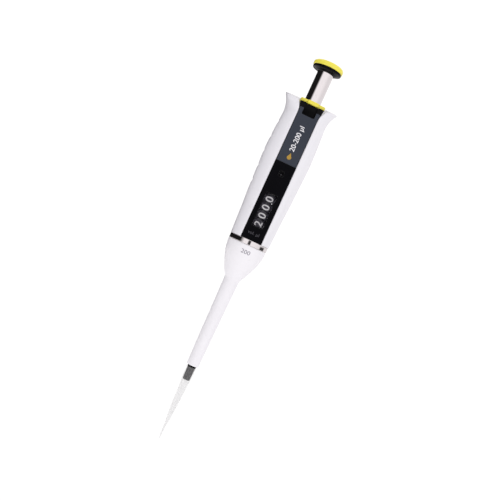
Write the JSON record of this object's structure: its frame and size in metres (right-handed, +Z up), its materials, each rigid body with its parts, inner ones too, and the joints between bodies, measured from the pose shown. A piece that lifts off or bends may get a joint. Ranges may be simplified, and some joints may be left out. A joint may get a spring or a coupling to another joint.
{
  "type": "pipette",
  "caption": "Hand-held adjustable-volume air-displacement pipette with a digital counter, press button, ejector button and sleeve, volume lock and a fitted disposable tip.",
  "frame": {"origin": "on the plunger axis in the neck under the flared rim, where a stand's fork holds the pipette", "axes": "+Z up along the pipette towards the press button, -Y out of the display, +X to the right of the display"},
  "size_m": [0.0366, 0.0328, 0.267],
  "materials": {
    "white_plastic": "satin moulded plastic",
    "black_gloss": "gloss",
    "window": "clear",
    "slate_label": "satin printed plate",
    "yellow_plastic": "satin",
    "chrome": "polished",
    "steel": "brushed",
    "brass": "machined",
    "grey_plastic": "matt",
    "drum_plastic": "matt",
    "ivory_plastic": "matt",
    "seal_rubber": "soft",
    "filter": "porous",
    "tip_plastic": "translucent"
  },
  "bodies": {
    "handle": {"handle_shell": "white_plastic", "fascia": "black_gloss", "display_window": "window", "lock_window": "window", "label_plate": "slate_label", "trim_ring": "chrome", "top_deck": "grey_plastic", "spring_seat": "grey_plastic", "counter_frame": "grey_plastic", "pinion_axle": "steel", "lower_housing": "grey_plastic", "cylinder_tube": "steel", "piston_seal": "seal_rubber", "seal_retainer": "ivory_plastic", "tip_cone": "grey_plastic", "cone_ring": "black_gloss", "cone_filter": "filter", "return_spring": "steel", "blowout_spring": "steel", "ejector_spring": "steel"},
    "spindle": {"drive_sleeve": "brass"},
    "plunger": {"operating_shaft": "chrome", "button_base": "black_gloss", "button_cap": "yellow_plastic", "push_rod": "steel", "drive_key": "steel"},
    "piston_unit": {"piston": "chrome", "piston_head": "grey_plastic"},
    "wheel_tenths": {"digit_wheel_tenths": "drum_plastic"},
    "wheel_units": {"digit_wheel_units": "drum_plastic"},
    "wheel_tens": {"digit_wheel_tens": "drum_plastic"},
    "wheel_hundreds": {"digit_wheel_hundreds": "drum_plastic"},
    "pinion_units": {"carry_pinion_units": "ivory_plastic"},
    "pinion_tens": {"carry_pinion_tens": "ivory_plastic"},
    "pinion_hundreds": {"carry_pinion_hundreds": "ivory_plastic"},
    "nut": {"travel_nut": "brass"},
    "ejector": {"ejector_plate": "yellow_plastic", "ejector_thumb": "black_gloss", "ejector_bar": "steel", "ejector_sleeve": "white_plastic"},
    "tip": {"pipette_tip": "tip_plastic"},
    "lock": {"lock_slider": "grey_plastic", "lock_link": "steel", "lock_flag": "ivory_plastic"}
  },
  "joints": [
    {"name": "volume_turn", "type": "hinge", "parent": "handle", "child": "spindle", "pos_m": [0, 0, 0], "axis": [0, 0, 1], "range_deg": [0, 6480]},
    {"name": "plunger_press", "type": "slide", "parent": "spindle", "child": "plunger", "axis": [0, 0, 1], "range_m": [-0.01845, 0], "stiffness_N_per_m": 150, "springref_m": 0.007, "deforming": ["return_spring", "blowout_spring"]},
    {"name": "piston_slide", "type": "slide", "parent": "handle", "child": "piston_unit", "axis": [0, 0, 1], "range_m": [-0.01845, 0]},
    {"name": "wheel_tenths_turn", "type": "hinge", "parent": "handle", "child": "wheel_tenths", "pos_m": [0, 0, 0], "axis": [0, 0, 1], "range_deg": [0, 64800]},
    {"name": "wheel_units_turn", "type": "hinge", "parent": "handle", "child": "wheel_units", "pos_m": [0, 0, 0], "axis": [0, 0, 1], "range_deg": [0, 6480]},
    {"name": "wheel_tens_turn", "type": "hinge", "parent": "handle", "child": "wheel_tens", "pos_m": [0, 0, 0], "axis": [0, 0, 1], "range_deg": [0, 648]},
    {"name": "wheel_hundreds_turn", "type": "hinge", "parent": "handle", "child": "wheel_hundreds", "pos_m": [0, 0, 0], "axis": [0, 0, 1], "range_deg": [0, 64.8]},
    {"name": "pinion_units_turn", "type": "hinge", "parent": "handle", "child": "pinion_units", "pos_m": [-0.00774, -0.00774, 0], "axis": [0, 0, 1], "range_deg": [-32400, 0]},
    {"name": "pinion_tens_turn", "type": "hinge", "parent": "handle", "child": "pinion_tens", "pos_m": [-0.00774, -0.00774, 0], "axis": [0, 0, 1], "range_deg": [-3240, 0]},
    {"name": "pinion_hundreds_turn", "type": "hinge", "parent": "handle", "child": "pinion_hundreds", "pos_m": [-0.00774, -0.00774, 0], "axis": [0, 0, 1], "range_deg": [-324, 0]},
    {"name": "nut_travel", "type": "slide", "parent": "handle", "child": "nut", "axis": [0, 0, 1], "range_m": [-0.01364, 0]},
    {"name": "ejector_press", "type": "slide", "parent": "handle", "child": "ejector", "axis": [0, 0, 1], "range_m": [-0.0074, 0], "stiffness_N_per_m": 400, "springref_m": 0.005, "deforming": ["ejector_spring"]},
    {"name": "tip_pull", "type": "slide", "parent": "ejector", "child": "tip", "axis": [0, 0, 1], "range_m": [-0.014, 0]},
    {"name": "lock_slide", "type": "slide", "parent": "handle", "child": "lock", "axis": [0, 0, 1], "range_m": [-0.003, 0]}
  ],
  "couplings": [
    {"joint": "piston_slide", "follows": "plunger_press", "ratio": 1},
    {"joint": "wheel_tenths_turn", "follows": "volume_turn", "ratio": 10},
    {"joint": "wheel_units_turn", "follows": "volume_turn", "ratio": 1},
    {"joint": "wheel_tens_turn", "follows": "volume_turn", "ratio": 0.1},
    {"joint": "wheel_hundreds_turn", "follows": "volume_turn", "ratio": 0.01},
    {"joint": "pinion_units_turn", "follows": "volume_turn", "ratio": -5},
    {"joint": "pinion_tens_turn", "follows": "volume_turn", "ratio": -0.5},
    {"joint": "pinion_hundreds_turn", "follows": "volume_turn", "ratio": -0.05},
    {"joint": "nut_travel", "follows": "volume_turn", "m_per_rad": -0.00012058}
  ]
}
